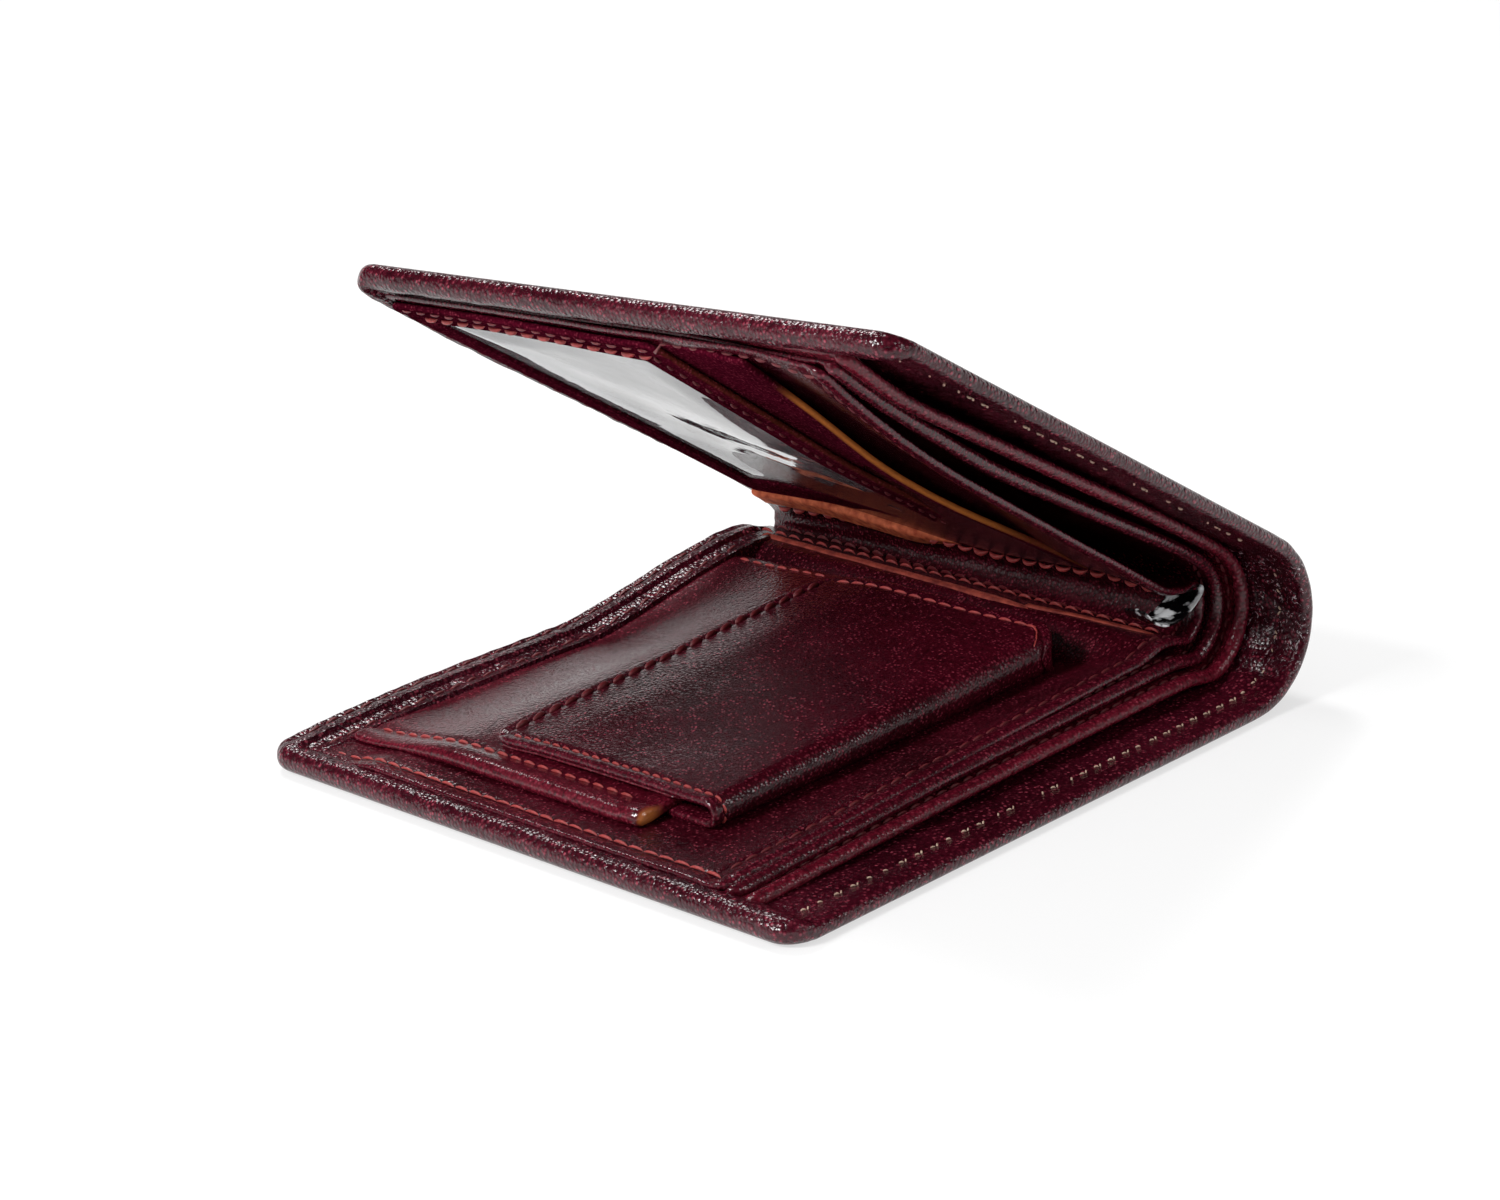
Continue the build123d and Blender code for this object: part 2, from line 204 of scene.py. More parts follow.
def lines_at_hole(places, sides):
    """Grid lines with three at each side of a hole, so that its edge can be rounded."""
    clear = [p for p in places if min(abs(p - side_at) for side_at in sides) > 0.4]
    return sorted(clear + [side_at + d for side_at in sides for d in (-0.25, 0, 0.25)])


def sheet(name, rect, radius, bottom, top, step=1.1, ends=(SOFT, SOFT, SOFT, SOFT), glow=1.6,
          raw=None, hole=None):
    """Closed sheet of leather or film over a rounded rectangle. bottom and top are the heights of its
    two faces at x, y; they are rounded together at the edge. ends are the grid lines at its
    four edges, and glow is how far in the edge is lighter, which is wear and a painted highlight
    on its rounding. raw(x, y) is 1 where a cut edge shows undyed, and hole is a rectangle cut
    out of the sheet."""
    x0, x1, y0, y1 = rect
    xs = lines(x0, x1, step, ends[0], ends[1])
    ys = lines(y0, y1, step, ends[2], ends[3])
    if hole:
        xs = lines_at_hole(xs, hole[:2])
        ys = lines_at_hole(ys, hole[2:])
    deselect()
    bpy.ops.mesh.primitive_grid_add(x_subdivisions=len(xs) - 1, y_subdivisions=len(ys) - 1, size=2)
    piece = bpy.context.object
    piece.name = name
    for v in piece.data.vertices:
        i, j = (round((c + 1) / 2 * (n - 1)) for c, n in ((v.co.x, len(xs)), (v.co.y, len(ys))))
        v.co = (xs[i], ys[j], 0)
        round_corner(v.co, rect, radius)
    if hole:
        choose(piece)
        bpy.ops.object.mode_set(mode="EDIT")
        bpy.ops.mesh.select_all(action="DESELECT")
        bpy.ops.object.mode_set(mode="OBJECT")
        for f in piece.data.polygons:
            f.select = hole[0] < f.center.x < hole[1] and hole[2] < f.center.y < hole[3]
        bpy.ops.object.mode_set(mode="EDIT")
        bpy.ops.mesh.select_mode(type="FACE")
        bpy.ops.mesh.delete(type="FACE")
        bpy.ops.object.mode_set(mode="OBJECT")
    solid = piece.modifiers.new("thickness", "SOLIDIFY")
    solid.thickness = 1.0
    solid.offset = 1.0
    choose(piece)
    bpy.ops.object.modifier_apply(modifier=solid.name)
    rim = piece.data.attributes.new("edge", "FLOAT", "POINT")
    cut = piece.data.attributes.new("raw", "FLOAT", "POINT")
    for v in piece.data.vertices:
        x, y, upper_face = v.co.x, v.co.y, v.co.z > 0.5
        d = max(depth_in(x, y, rect, radius), 0.0)
        if hole:
            d = min(d, max(-depth_in(x, y, hole, 0.0), 0.0))
        low, high = bottom(x, y), top(x, y)
        rounding = min((high - low) / 2, 1.7)
        drop = rounding - math.sqrt(max(rounding * rounding - max(rounding - d, 0.0) ** 2, 0.0))
        v.co.z = high - drop if upper_face else low + drop
        # lighter edge: wear, and a painted highlight on the edge's rounding
        rim.data[v.index].value = math.exp(-d / glow)
        cut.data[v.index].value = raw(x, y) if raw else 0.0
    choose(piece)
    bpy.ops.object.mode_set(mode="EDIT")
    bpy.ops.mesh.select_all(action="SELECT")
    bpy.ops.mesh.remove_doubles(threshold=0.002)
    bpy.ops.mesh.normals_make_consistent(inside=False)
    bpy.ops.object.mode_set(mode="OBJECT")
    return piece


def split_at_spine(piece, lower_name, upper_name):
    """Cuts a sheet that runs round the spine in two at its middle, each part closed."""
    upper = piece.copy()
    upper.data = piece.data.copy()
    bpy.context.collection.objects.link(upper)
    piece.name, upper.name = lower_name, upper_name
    for part, keep_low in ((piece, True), (upper, False)):
        choose(part)
        bpy.ops.object.mode_set(mode="EDIT")
        bpy.ops.mesh.select_all(action="SELECT")
        bpy.ops.mesh.bisect(plane_co=(LOWER, 0, 0), plane_no=(1, 0, 0), use_fill=True,
                            clear_outer=keep_low, clear_inner=not keep_low)
        bpy.ops.object.mode_set(mode="OBJECT")
    return piece, upper


def fold_up(piece, material, replaces=()):
    """Carries a flat piece to its place and gives it its finish."""
    for v in piece.data.vertices:
        v.co = folded(v.co)
    piece.data.update()
    choose(piece)
    bpy.ops.object.shade_smooth_by_angle(angle=math.radians(40))
    piece.data.materials.clear()
    piece.data.materials.append(material)
    if replaces:
        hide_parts(*replaces)
    return piece


def hold(piece, zone):
    """Rides on a body. A piece of the bend between a half and the middle of the spine, or of the
    bend between the lower half and the flap at the flap's hinge, has its place baked into its
    mesh instead, and does not bend."""
    y = HEIGHT / 2
    start, middle = Vector((LOWER - bend_start(y), y, 0)), Vector((LOWER, y, 0))
    end = Vector((LOWER + bend_start(y), y, 0))
    if zone == "lower_bend":
        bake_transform(piece)
    elif zone == "upper_bend":
        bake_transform(piece)
    elif zone == "flap_bend":
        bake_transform(piece)
    else:
        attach(piece, zone)
    return piece


def both_bends(piece, name, material, lower_nodes, upper_nodes):
    """Finishes a sheet that runs from one half to the other, as a part on each bend."""
    parts = split_at_spine(piece, name + "_lower", name + "_upper")
    for part, zone, nodes in zip(parts, ("lower_bend", "upper_bend"), (lower_nodes, upper_nodes)):
        hold(fold_up(part, material, nodes), zone)


# Materials -----------------------------------------------------------------------------------

# Leather, in mm: clouds of dye, creases, patches with more painted glints on the pebble tops, and painted
# glints at the spine.
CLOUD, CREASE, GLINT_PATCH, SPINE_GLINT_SIZE = 18, 4, 2.2, 0.8
# Painted shade between the pebbles, painted glints on the pebble tops, pale painted glints at the spine,
# and the tan core of a cut edge.
PAINTED_SHADE_BETWEEN_PEBBLES, PAINTED_GLINT, PAINTED_SPINE_GLINT, TAN_CORE = "#0d0003", "#b04a5c", "#dccfd4", "#a8622f"
SPINE_GLINTS_FROM, SPINE_GLINTS_TO = 45 * MM, 50 * MM       # X of the object, where the spine turns


def colour(code):
    """sRGB hex to linear."""
    values = [int(code[i:i + 2], 16) / 255 for i in (1, 3, 5)]
    return [v / 12.92 if v <= 0.04045 else ((v + 0.055) / 1.055) ** 2.4 for v in values] + [1.0]


def per(size):
    """Scale of a texture whose features are `size` mm across, on coordinates in metres."""
    return 1000 / size


def add_node(owner, kind, settings=(), inputs=(), links=()):
    node = owner.node_tree.nodes.new(kind)
    for key, value in dict(settings).items():
        setattr(node, key, value)
    for key, value in dict(inputs).items():
        node.inputs[key].default_value = value
    for key, source in dict(links).items():
        owner.node_tree.links.new(source, node.inputs[key])
    return node


def new_material(name):
    material = bpy.data.materials.new(name)
    material.use_nodes = True
    material.node_tree.nodes.clear()
    return material


def leather(name, deep, warm, worn, rough=0.2, pebble=0.5, relief=0.075, crease=0.11,
            glint_share=0.45, wear_and_sheen=0.4, shine=0.5, spine_glint_paleness=0.0):
    """Drum-dyed calf. The dye goes in clouds from deep to warm, and to worn along the edges as
    far as rub says: the edges are worn lighter, and a painted highlight on their rounding is in
    the same colour. Pebbles `pebble` mm apart have painted shade between them, near black, and
    some of their tops carry painted glints, as far as speckle says: the real grain is finer, and
    this is as coarse as it has to be to show. relief and crease are the depths of the pebbles
    and creases in mm. A cut edge shows the tan core, and cracked is how pale the painted glints
    are where the spine bends and wrinkles."""
    m = new_material(name)
    place = add_node(m, "ShaderNodeTexCoord").outputs["Object"]
    cloud = add_node(m, "ShaderNodeTexNoise", inputs={"Scale": per(CLOUD), "Detail": 5.0},
                     links={"Vector": place}).outputs[0]
    cells = add_node(m, "ShaderNodeTexVoronoi", inputs={"Scale": per(pebble)},
                     links={"Vector": place}).outputs
    fold = add_node(m, "ShaderNodeTexNoise",
                    inputs={"Scale": per(CREASE), "Detail": 7.0, "Roughness": 0.62,
                            "Distortion": 0.8},
                    links={"Vector": place}).outputs[0]
    patch = add_node(m, "ShaderNodeTexNoise", inputs={"Scale": per(GLINT_PATCH), "Detail": 3.0},
                     links={"Vector": place}).outputs[0]
    edge = add_node(m, "ShaderNodeAttribute", {"attribute_name": "edge"}).outputs["Fac"]
    raw = add_node(m, "ShaderNodeAttribute", {"attribute_name": "raw"}).outputs["Fac"]
    # dye: clouds, then the edge, worn lighter and with a painted highlight, then painted shade between the
    # pebbles
    tone = add_node(m, "ShaderNodeMapRange", inputs={"From Min": 0.3, "From Max": 0.7},
                    links={"Value": cloud}).outputs[0]
    dye = add_node(m, "ShaderNodeMix", {"data_type": "RGBA"}, {6: colour(deep), 7: colour(warm)},
                   {0: tone}).outputs[2]
    rolled = add_node(m, "ShaderNodeMath", {"operation": "MULTIPLY"}, {1: wear_and_sheen}, {0: edge}).outputs[0]
    dye = add_node(m, "ShaderNodeMix", {"data_type": "RGBA"}, {7: colour(worn)},
                   {0: rolled, 6: dye}).outputs[2]
    groove = add_node(m, "ShaderNodeMapRange",
                      inputs={"From Min": 0.45, "From Max": 0.9, "To Max": 0.6},
                      links={"Value": cells["Distance"]}).outputs[0]
    dye = add_node(m, "ShaderNodeMix", {"data_type": "RGBA"}, {7: colour(PAINTED_SHADE_BETWEEN_PEBBLES)},
                   {0: groove, 6: dye}).outputs[2]
    # painted glints: the middle of a pebble, on some pebbles, in some patches
    tops = add_node(m, "ShaderNodeMapRange", inputs={"From Min": 0.45, "From Max": 0.2},
                    links={"Value": cells["Distance"]}).outputs[0]
    some = add_node(m, "ShaderNodeMapRange", inputs={"From Min": 0.3, "From Max": 0.7},
                    links={"Value": cells["Color"]}).outputs[0]
    here = add_node(m, "ShaderNodeMapRange",
                    inputs={"From Min": 0.38, "From Max": 0.66, "To Min": 0.15, "To Max": glint_share},
                    links={"Value": patch}).outputs[0]
    glint_mask = add_node(m, "ShaderNodeMath", {"operation": "MULTIPLY"}, links={0: tops, 1: some}).outputs[0]
    glint_mask = add_node(m, "ShaderNodeMath", {"operation": "MULTIPLY"}, links={0: glint_mask, 1: here}).outputs[0]
    paint = add_node(m, "ShaderNodeMix", {"data_type": "RGBA"}, {7: colour(PAINTED_GLINT)},
                     {0: glint_mask, 6: dye}).outputs[2]
    # pale painted glints where the spine bends and wrinkles, and the core at a cut edge
    across = add_node(m, "ShaderNodeSeparateXYZ", links={0: place}).outputs[0]
    bent = add_node(m, "ShaderNodeMapRange",
                    inputs={"From Min": SPINE_GLINTS_FROM, "From Max": SPINE_GLINTS_TO, "To Max": spine_glint_paleness},
                    links={"Value": across}).outputs[0]
    flecks = add_node(m, "ShaderNodeTexNoise",
                      inputs={"Scale": per(SPINE_GLINT_SIZE), "Detail": 4.0, "Roughness": 0.7,
                              "Distortion": 1.5},
                      links={"Vector": place}).outputs[0]
    flecks = add_node(m, "ShaderNodeMapRange", inputs={"From Min": 0.6, "From Max": 0.66},
                      links={"Value": flecks}).outputs[0]
    spine_glint_mask = add_node(m, "ShaderNodeMath", {"operation": "MULTIPLY"},
                      links={0: bent, 1: flecks}).outputs[0]
    paint = add_node(m, "ShaderNodeMix", {"data_type": "RGBA"}, {7: colour(PAINTED_SPINE_GLINT)},
                     {0: spine_glint_mask, 6: paint}).outputs[2]
    core = add_node(m, "ShaderNodeMix", {"data_type": "RGBA"}, {7: colour(TAN_CORE)},
                    {0: raw, 6: paint}).outputs[2]
    tall = add_node(m, "ShaderNodeMath", {"operation": "MULTIPLY"}, {1: -relief},
                    {0: cells["Distance"]}).outputs[0]
    height = add_node(m, "ShaderNodeMath", {"operation": "MULTIPLY_ADD"}, {1: crease},
                      {0: fold, 2: tall}).outputs[0]
    bump = add_node(m, "ShaderNodeBump", inputs={"Strength": 1.0, "Distance": MM},
                    links={"Height": height}).outputs[0]
    dull = add_node(m, "ShaderNodeMapRange",
                    inputs={"To Min": rough - 0.08, "To Max": rough + 0.1},
                    links={"Value": cloud}).outputs[0]
    shader = add_node(m, "ShaderNodeBsdfPrincipled", inputs={"Specular IOR Level": shine},
                      links={"Base Color": core, "Roughness": dull, "Normal": bump})
    add_node(m, "ShaderNodeOutputMaterial", links={"Surface": shader.outputs[0]})
    return m


def plain(name, base, dark, size, rough=0.5, relief=0.03, metallic=0.0, shine=0.5, clear=0.0,
          low=0.0, high=1.0):
    """Two tones in patches of `size` mm, with a relief of `relief` mm. The second turns to the
    first as the noise goes from low to high."""
    m = new_material(name)
    place = add_node(m, "ShaderNodeTexCoord").outputs["Object"]
    fine = add_node(m, "ShaderNodeTexNoise", inputs={"Scale": per(size), "Detail": 4.0},
                    links={"Vector": place}).outputs[0]
    blotch = add_node(m, "ShaderNodeMapRange", inputs={"From Min": low, "From Max": high},
                      links={"Value": fine}).outputs[0]
    tone = add_node(m, "ShaderNodeMix", {"data_type": "RGBA"}, {6: colour(dark), 7: colour(base)},
                    {0: blotch}).outputs[2]
    bump = add_node(m, "ShaderNodeBump", inputs={"Strength": 1.0, "Distance": relief * MM},
                    links={"Height": fine}).outputs[0]
    shader = add_node(m, "ShaderNodeBsdfPrincipled",
                      inputs={"Roughness": rough, "Metallic": metallic,
                              "Specular IOR Level": shine, "Transmission Weight": clear},
                      links={"Base Color": tone, "Normal": bump})
    add_node(m, "ShaderNodeOutputMaterial", links={"Surface": shader.outputs[0]})
    return m


# Calf, dyed in the drum, waxed and plated: deep wine red with a sharp, broken shine.
calf = leather("waxed_calf_burgundy", "#28040b", "#460717", "#5c0d21", relief=0.06, crease=0.075)
# The same calf pressed harder by the plate: flatter, so that the sheen lies on it in one patch.
pocket_calf = leather("plated_calf_pocket", "#30050e", "#4e0919", "#6e1226", relief=0.045,
                      crease=0.05, glint_share=0.4, wear_and_sheen=0.5, shine=0.65)
# Calf with a coarse grain pressed in: rougher to the eye, with pale painted glints where the spine is
# wrinkled.
cover_calf = leather("grained_calf_cover", "#24030b", "#420818", "#560d20", pebble=0.6, relief=0.12,
                     crease=0.13, glint_share=0.6, wear_and_sheen=0.25, shine=0.45, spine_glint_paleness=0.85)
# Calf pared thin and turned over by hand: brighter crimson, lighter along the roll, worn there and with a
# painted highlight on it.
piping = leather("rolled_calf_crimson", "#2f040d", "#560a1b", "#741228", 0.24, 0.55, 0.09, 0.12,
                 glint_share=0.5, wear_and_sheen=0.5, shine=0.42)
# Calf left unwaxed: dull, with no reflection in it; the glints on its pebble tops are painted.
card_calf = leather("card_panel_calf_dull", "#2a040e", "#46091b", "#520c1f", 0.75, 0.42, 0.12, 0.1,
                    glint_share=0.35, wear_and_sheen=0.3, shine=0.0)
# Bonded polyester thread, twisted and waxed: light and dark by turns along its length.
red_thread = plain("waxed_thread_red", "#c04642", "#5a1418", 0.35, 0.5, 0.05)
dark_thread = plain("waxed_thread_oxblood", "#7a1f26", "#3a0a10", 0.35, 0.5, 0.05)
# The same thread with its dye worn off: pale, with less shine.
pale_thread = plain("worn_thread_pale", "#d8c3ac", "#8d6a58", 0.35, 0.6, 0.05)
# Middle of the hide, cut with a knife and left undyed: matt orange tan fibres.
tan_edge = plain("raw_cut_calf_edge", "#dd7550", "#9c402a", 1.2, 0.75, 0.12, shine=0.2,
                 low=0.3, high=0.7)
# The same cut edge with the dye of the face rubbed into it: rust, darker in patches.
rust_edge = plain("raw_edge_rubbed_with_dye", "#a84a3c", "#6a2420", 1.6, 0.65, 0.1, shine=0.2,
                  low=0.3, high=0.7)
# Black vinyl rolled glossy and since crumpled: silver glints on black. The glints are in the
# colour, because the crumples that make them are finer than the mesh.
black_film = plain("glossy_black_vinyl", "#e6e8ea", "#050506", 2.8, 0.07, 0.25, low=0.52,
                   high=0.6)
# Brass, pressed and nickel plated: warm grey metal with a soft, slightly clouded shine.
nickel = plain("nickel_plated_brass", "#c4bfb5", "#a8a39a", 2.0, 0.24, 0.01, 1.0)
# Clear vinyl rolled smooth: a glassy face in slow waves, faintly grey over what lies under it.
clear_film = plain("clear_vinyl_window", "#cdced1", "#b2b3b7", 9.0, 0.03, 0.12, clear=0.8)


# Heights of the stack ------------------------------------------------------------------------

# Each sheet's height is given along its bill edge, where the sheets sag apart, and further in,
# where they lie flat and thicken evenly over this run from the outer edge. The pairs are a
# distance from the outer edge and a height: near the bill edge, deep in the middle, and far at
# the sewn edge.
RUN = 93


def side(x):
    """Distance from the nearer outer edge."""
    return x if x < LOWER else WIDTH - x


def bend(x, y, reach=3.0):
    """0 on a flat half, 1 in the spine."""
    return smooth(-reach, reach, bend_start(y) - abs(x - LOWER))


def stack(x, y, near_low, near_high, low, spine, flat_from, flat_to):
    """Height of a sheet: lifted at the bill edge, flat further in, loose in the spine."""
    s = side(x)
    near = curve(near_low if x < LOWER else near_high, s)
    rest = low[0] + low[1] * min(s / RUN, 1.0)
    height = mix(near, rest, smooth(flat_from, flat_to, y))
    loose = min(spine, bend_radius(y) - 1.3)
    return mix(height, loose, bend(x, y, 5.0))


def divider_top(x, y):
    return stack(x, y, [(0, 2.6), (45, 4.0), (80, 4.6), (120, 4.4)],
                 [(0, 3.0), (16, 5.0), (51, 3.9), (73, 3.1), (120, 3.0)], (2.5, 0.5), 3.4, 12, 40)


def base_top(x, y):
    return stack(x, y, [(0, 3.0), (45, 5.3), (90, 6.3), (120, 6.0)],
                 [(0, 3.6), (16, 5.7), (40, 6.8), (62, 5.9), (82, 4.9), (120, 4.9)], (3.1, 1.1),
                 5.2, 15, 45)


def slip(x):
    """Flat part of the lower half's slip panel, under the coin pocket."""
    return 3.9 + 1.2 * x / RUN


def inner_low(x, y):
    """Slip panel of the lower half, heaped up by the seams along the fold."""
    s = side(x)
    near = curve([(0, 3.7), (50, 6.3), (80, 7.8), (120, 8.6)], s)
    rest = 3.9 + 1.2 * min(s / RUN, 1.0)
    rest -= 1.0 * smooth(80, 88, y)
    return mix(mix(near, rest, smooth(14, 27, y)), 9.2, smooth(84, 92, x))


def card_sag(x, y):
    """Top card panel: it hangs away from the cover at its bill edge."""
    s = side(x)
    near = curve([(0, 4.2), (11, 6.8), (22, 8.4), (34, 9.5), (58, 10.2), (80, 10.9), (120, 10.9)], s)
    deep = curve([(0, 4.0), (15, 4.4), (35, 6.0), (55, 7.4), (80, 9.0), (120, 9.6)], s)
    far = curve([(0, 3.6), (60, 3.9), (84, 4.8), (94, 5.2), (120, 7.0)], s)
    return mix(mix(near, deep, smooth(14, 30, y)), far, smooth(34, 90, y))


def inner_top(x, y):
    """The innermost sheet: slip panel, spine and top card panel in one."""
    height = inner_low(x, y) if x < LOWER else card_sag(x, y)
    inside_radius = bend_radius(y) - 1.2
    if abs(x - LOWER) < bend_start(y):
        height = min(height, inside_radius)
    return mix(height, min(7.6, inside_radius), bend(x, y, 6.0)) + ripple(x, y, 15, 0.15)


def frame_top(x, y):
    """Window frame, laid over the card panels."""
    s = side(x)
    near = curve([(0, 4.9), (10, 5.6), (27, 6.6), (49, 8.0), (63, 8.0), (80, 8.1), (120, 8.6)], s)
    far = curve([(0, 4.6), (60, 4.8), (84, 5.2), (94, 5.4), (120, 6.4)], s)
    return mix(near, far, smooth(FRAME[2], 84, y))


def middle_top(x, y):
    """Middle card panel: it sags on its own up to the frame, and lies under it from there."""
    s = side(x)
    near = curve([(0, 4.6), (15, 6.2), (23, 7.2), (35, 9.2), (43, 9.9), (55, 10.1), (80, 9.2)], s)
    deep = frame_top(x, FRAME[2]) - 1.1
    return mix(near, deep, smooth(29, 43, y)) if y < FRAME[2] else frame_top(x, y) - 1.1


def roll(t, width=HEM_WIDTH, lift=0.8):
    """Profile of a hem, t mm in from its edge."""
    return lift * math.sqrt(max(1 - (2 * t / width - 1) ** 2, 0.0)) if 0 < t < width else 0.0


# Cover ---------------------------------------------------------------------------------------

def border_top(x):
    """Sewn bottom border: thin at the outer edges, heaped up where the pocket meets the fold."""
    if x > LOWER:
        return curve([(0, 4.0), (20, 4.6), (70, 4.6), (90, 4.2), (120, 4.6)], WIDTH - x)
    return curve([(0, 3.6), (12, 4.5), (26, 5.1), (56, 5.1), (66, 6.7), (77, 8.8), (88, 10.3),
                  (94, 10.4), (99, 8.0), (103, 6.2), (120, 4.8)], x, 2.0)


def cover_top(x, y):
    """Inside of the cover: turned edges at the outer and bill edges, and a sewn border in two
    layers, which is wider on the lower half. The spine is the most wrinkled."""
    s, far = side(x), HEIGHT - y
    outer = 3.5 - 0.6 * smooth(1.6, 3.2, s) if s < 3.2 else mix(2.9, 1.8, smooth(3.2, 4.6, s))
    bill = 2.3 - 0.3 * smooth(2.0, 4.0, y) - 0.35 * dip(y, BILL_SEAM, 0.6)
    wide = smooth(99, 90, x)
    rim = border_top(x) - 0.4 * dip(far, RIM_SEAM, 0.5)
    step = rim - mix(0.9, 0.65, wide) * smooth(0, 0.3, far - mix(3.1, 4.2, wide))
    step -= 0.3 * dip(far, mix(UPPER_BORDER_SEAM, LOWER_BORDER_SEAM, wide), 0.45)
    bottom = mix(step, 1.8, smooth(0, 0.8, far - mix(6.2, 8.6, wide)))
    wrinkle = 0.55 * bend(x, y) + 0.16
    return max(outer, bill, bottom) + ripple(x * 1.4, y * 0.8, 3.2, wrinkle) * smooth(0, 3, y)


def cover_bottom(x, y):
    """Outside of the cover: flat on the halves, wrinkled in the spine."""
    return 0.28 * bend(x, y) * (0.5 + ripple(x * 2.0, y * 0.6, 5.0, 0.5, 3.0))


cover = sheet("cover", COVER, CORNER, cover_bottom, cover_top, 0.9, (BEAD, BEAD, BEAD, BEAD), 1.5)
both_bends(cover, "cover", cover_calf,
           ("lower_cover_leather", "lower_cover_lining", "lower_turned_edge",
            "spine_cover_leather", "spine_cover_lining"),
           ("upper_cover_leather", "upper_cover_lining", "upper_turned_edge"))


# Divider, base panel and inner panel: three sheets nested round the spine --------------------

def hemmed(surface, edge, seam):
    """Bottom and top faces of a sheet with a hem along its bill edge, sewn down at seam."""
    def bottom(x, y):
        return surface(x, y) - INNER_GAUGE - roll(y - edge, lift=0.4)

    def top(x, y):
        return surface(x, y) + roll(y - edge) - 0.2 * dip(y, seam, 0.4)

    return bottom, top


def lower_panel(x, y):
    """The innermost sheet with its hem, before its seams press it down."""
    return inner_top(x, y) + roll(y - INNER[2], lift=0.5)


def inner_bottom(x, y):
    return inner_top(x, y) - INNER_GAUGE


def inner_face(x, y):
    sewn = lower_panel(x, y) - 0.2 * dip(y, INNER_SEAM, 0.4)
    return sewn - 0.22 * dip(side(x), OUTER_SEAM, 0.45)


divider = sheet("divider", DIVIDER, 2.0, *hemmed(divider_top, DIVIDER[2], DIVIDER_SEAM),
                ends=(SOFT, SOFT, HEM, SOFT), glow=1.2)
both_bends(divider, "bill_divider", piping, ("lower_bill_divider", "spine_bill_divider"),
           ("upper_bill_divider",))

base = sheet("base", BASE, 2.0, *hemmed(base_top, BASE[2], BASE_SEAM),
             ends=(SOFT, SOFT, HEM, SOFT), glow=1.2)
both_bends(base, "base_panel", calf, ("lower_base_panel",), ("upper_base_panel",))

inner = sheet("inner", INNER, 2.0, inner_bottom, inner_face, 1.0, (BEAD, BEAD, HEM, BEAD), 1.2)
both_bends(inner, "inner_panel", calf,
           ("lower_slip_panel", "coin_pocket_back", "spine_inner_panel"),
           ("card_panel_top",))


# Coin pocket ---------------------------------------------------------------------------------

def pocket_top(x, y):
    """Pocket front: fuller towards the spine, drawn down to the sewn border."""
    rise = line([(POCKET[0], 5.7), (POCKET[1], 9.6)], x)
    fall = mix(rise, max(border_top(x) - 1.2, 3.9), smooth(70, 91, y))
    return fall + ripple(x, y, 18, 0.25, 5.0)


def pocket_bottom(x, y):
    """Sewn down along its outer edge, hollow behind, and walled at its spine end."""
    sewn = min(slip(x), pocket_top(x, y) - 0.6)
    hollow = mix(sewn, pocket_top(x, y) - 1.3, smooth(10.5, 13, x))
    return mix(hollow, slip(x) + 0.2, smooth(84.0, 85.6, x))


def pocket_face(x, y):
    """The front with a roll at its outer edge, the groove of its seam and a bound mouth."""
    face = pocket_top(x, y) + roll(x - POCKET[0], 3.4, 0.35) - 0.25 * dip(x, POCKET_SEAM, 0.5)
    return face + 0.4 * smooth(38.6, 38.1, y)


def flap_top(x):
    return line([(FLAP[0], 8.2), (FLAP[1], 12.0)], x)


def flap_floor(x):
    """Underside of the flap's lining, clear of the pocket front."""
    return line([(FLAP[0], 6.8), (FLAP[1], 9.75)], x)


def flap_face(x, y):
    """The flap's outer face, which falls away towards its tip."""
    return flap_top(x) - 0.9 * smooth(57, 71, y) + ripple(x, y, 16, 0.3, 9.0) * smooth(28, 36, y)


def flap_grooved(x, y):
    sewn = flap_face(x, y) - 0.22 * dip(x, FLAP_OUTER_SEAM, 0.4)
    return sewn - 0.22 * dip(x, FLAP_SPINE_SEAM, 0.4) - 0.25 * dip(y, FLAP_TIP_SEAM, 0.5)


def over_hinge(p):
    """Carries a point of the flap, cut flat, round the hinge roll and back under the flap."""
    if p.y >= HINGE:
        return p
    radius = (flap_top(p.x) - slip(p.x) - 0.05) / 2
    middle = flap_top(p.x) - radius
    arm, run = p.z - middle, HINGE - p.y
    angle = min(run / radius, math.pi)
    y = HINGE - arm * math.sin(angle) + max(run - math.pi * radius, 0.0)
    # the roll's spine end follows the flap's round corner
    sink = max(HINGE + 1.5 - y, 0.0) if y < HINGE + 1.5 else 0.0
    inset = FLAP_CORNER - math.sqrt(max(FLAP_CORNER ** 2 - min(sink, FLAP_CORNER) ** 2, 0.0))
    return Vector((p.x - inset * smooth(74, FLAP[1], p.x), y, middle + arm * math.cos(angle)))


pocket = sheet("pocket_front_leather", POCKET, 1.5, pocket_bottom, pocket_face,
               ends=(BEAD, SOFT, SOFT, SOFT), glow=1.7,
               raw=lambda x, y: 0.9 * smooth(35.3, 34.7, y) * smooth(13, 10, x))
# the mouth runs further towards the bill edge at its spine end, up to the flap's corner
for v in pocket.data.vertices:
    v.co.y -= 4.5 * smooth(76, 84, v.co.x) * smooth(42, POCKET[2], v.co.y)
hold(fold_up(pocket, pocket_calf,
             ("coin_pocket_front", "coin_pocket_gusset", "coin_pocket_binding")), "lower_half")

flap = sheet("flap_leather", FLAP, FLAP_CORNER, lambda x, y: flap_face(x, y) - 1.15, flap_grooved,
             0.9, (HEM, HEM, SOFT, HEM), 1.1)
for v in flap.data.vertices:
    v.co = over_hinge(v.co)
hold(fold_up(flap, calf,
             ("coin_flap_leather", "coin_flap_hinge_roll", "snap_cap")), "flap_bend")

